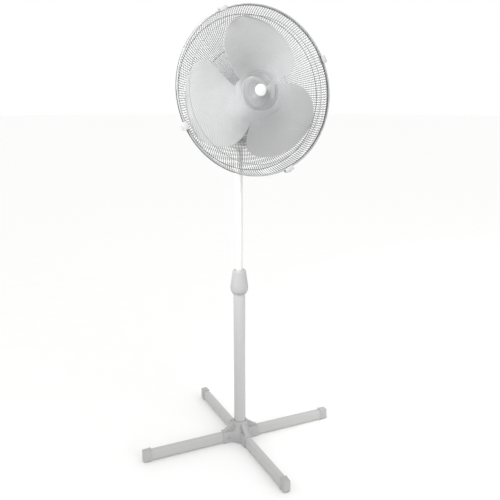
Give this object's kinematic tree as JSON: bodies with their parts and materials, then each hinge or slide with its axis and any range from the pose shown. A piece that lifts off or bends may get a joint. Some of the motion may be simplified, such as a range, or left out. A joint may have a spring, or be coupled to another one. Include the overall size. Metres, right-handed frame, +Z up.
{
  "type": "pedestal fan",
  "caption": "Free-standing electric fan with a cross base, a telescopic pole, and a tilting, oscillating head with a wire guard.",
  "frame": {"origin": "on the floor under the pole, at the middle of the cross base", "axes": "+Z up along the pole, -Y the way the fan faces, +X towards the tilt knob"},
  "size_m": [0.632, 0.632, 1.2899],
  "materials": {
    "white_moulding": "satin white moulded ABS",
    "blade_plastic": "satin pale grey moulded blades",
    "grey_moulding": "light grey moulded plastic",
    "white_enamel": "white powder coat on steel tube",
    "grey_enamel": "light grey powder coat on steel tube",
    "guard_wire": "silver grey coated wire",
    "zinc_steel": "zinc-plated steel",
    "cast_metal": "die-cast",
    "copper": "enamelled copper windings",
    "bronze": "sintered bronze",
    "nylon": "natural nylon",
    "dark_moulding": "dark moulded plastic"
  },
  "bodies": {
    "base": {"base_hub": "grey_moulding", "base_arm_right": "white_enamel", "arm_end_cap_right": "grey_moulding", "arm_screw_right": "zinc_steel", "base_arm_back": "white_enamel", "arm_end_cap_back": "grey_moulding", "arm_screw_back": "zinc_steel", "base_arm_left": "white_enamel", "arm_end_cap_left": "grey_moulding", "arm_screw_left": "zinc_steel", "base_arm_front": "white_enamel", "arm_end_cap_front": "grey_moulding", "arm_screw_front": "zinc_steel", "pole_plug": "nylon", "pole_bolt": "zinc_steel", "lower_pole": "grey_enamel", "collar_base": "grey_moulding", "collar_collet": "nylon"},
    "collar": {"collar_nut": "grey_moulding"},
    "column": {"inner_pole": "white_enamel", "guide_bush": "nylon", "tilt_bracket": "cast_metal", "neck_front": "white_moulding", "neck_rear": "white_moulding", "pole_set_screw": "zinc_steel", "cord_gland": "dark_moulding", "switch_block": "dark_moulding", "tilt_bolt": "zinc_steel"},
    "tilt_knob": {"tilt_knob": "grey_moulding"},
    "tilt": {"tilt_block": "cast_metal", "pivot_bush": "bronze"},
    "head": {"pivot_pin": "zinc_steel", "motor_chassis": "cast_metal", "gearbox_case": "dark_moulding", "motor_rear_cover": "white_moulding", "motor_front_cover": "white_moulding", "motor_front_bracket": "cast_metal", "stator": "copper", "bearing_front": "bronze", "bearing_rear": "bronze", "rear_guard": "guard_wire", "guard_nut": "grey_moulding", "front_guard": "guard_wire", "front_cap": "white_moulding", "guard_clip_1": "grey_moulding", "guard_clip_2": "grey_moulding", "guard_clip_3": "grey_moulding", "guard_lock_clip": "grey_moulding", "guard_lock_screw": "zinc_steel"},
    "blades": {"motor_shaft": "zinc_steel", "rotor": "zinc_steel", "impeller": "blade_plastic", "spinner": "white_moulding"},
    "crank": {"crank_spindle": "nylon"},
    "link": {"link_arm": "zinc_steel"},
    "clutch": {"clutch_knob": "grey_moulding"},
    "button_off": {"button_off": "grey_moulding"},
    "button_low": {"button_low": "grey_moulding"},
    "button_medium": {"button_medium": "grey_moulding"},
    "button_high": {"button_high": "grey_moulding"}
  },
  "joints": [
    {"name": "collar_turn", "type": "hinge", "parent": "base", "child": "collar", "pos_m": [0, 0, 0.52], "axis": [0, 0, 1], "range_deg": [0, 90]},
    {"name": "height_slide", "type": "slide", "parent": "base", "child": "column", "axis": [0, 0, 1], "range_m": [-0.27, 0.04]},
    {"name": "tilt_knob_turn", "type": "hinge", "parent": "column", "child": "tilt_knob", "pos_m": [0.0336, 0, 0.968], "axis": [1, 0, 0], "range_deg": [0, 120]},
    {"name": "tilt", "type": "hinge", "parent": "column", "child": "tilt", "pos_m": [0, 0, 0.968], "axis": [1, 0, 0], "range_deg": [-13, 17]},
    {"name": "oscillation", "type": "hinge", "parent": "tilt", "child": "head", "pos_m": [0, 0.00244, 0.98785], "axis": [0, 0.1219, 0.9925], "range_deg": [-40, 40]},
    {"name": "blade_spin", "type": "hinge", "parent": "head", "child": "blades", "pos_m": [0, -0.08865, 1.06654], "axis": [0, -0.9925, 0.1219], "continuous": true},
    {"name": "crank_turn", "type": "hinge", "parent": "head", "child": "crank", "pos_m": [0.015, 0.05254, 0.98976], "axis": [0, 0.1219, 0.9925], "range_deg": [-85, 85]},
    {"name": "link_swing", "type": "hinge", "parent": "tilt", "child": "link", "pos_m": [0.015, 0.00305, 0.99281], "axis": [0, 0.1219, 0.9925], "range_deg": [-50, 50]},
    {"name": "clutch_pull", "type": "slide", "parent": "head", "child": "clutch", "axis": [0, 0.1219, 0.9925], "range_m": [0, 0.008]},
    {"name": "press_off", "type": "slide", "parent": "column", "child": "button_off", "axis": [0, 1, 0], "range_m": [0, 0.004], "stiffness_N_per_m": 600},
    {"name": "press_low", "type": "slide", "parent": "column", "child": "button_low", "axis": [0, 1, 0], "range_m": [0, 0.004], "stiffness_N_per_m": 600},
    {"name": "press_medium", "type": "slide", "parent": "column", "child": "button_medium", "axis": [0, 1, 0], "range_m": [0, 0.004], "stiffness_N_per_m": 600},
    {"name": "press_high", "type": "slide", "parent": "column", "child": "button_high", "axis": [0, 1, 0], "range_m": [0, 0.004], "stiffness_N_per_m": 600}
  ],
  "couplings": [
    {"joint": "crank_turn", "follows": "oscillation", "ratio": -1.75},
    {"joint": "link_swing", "follows": "oscillation", "ratio": 1}
  ]
}
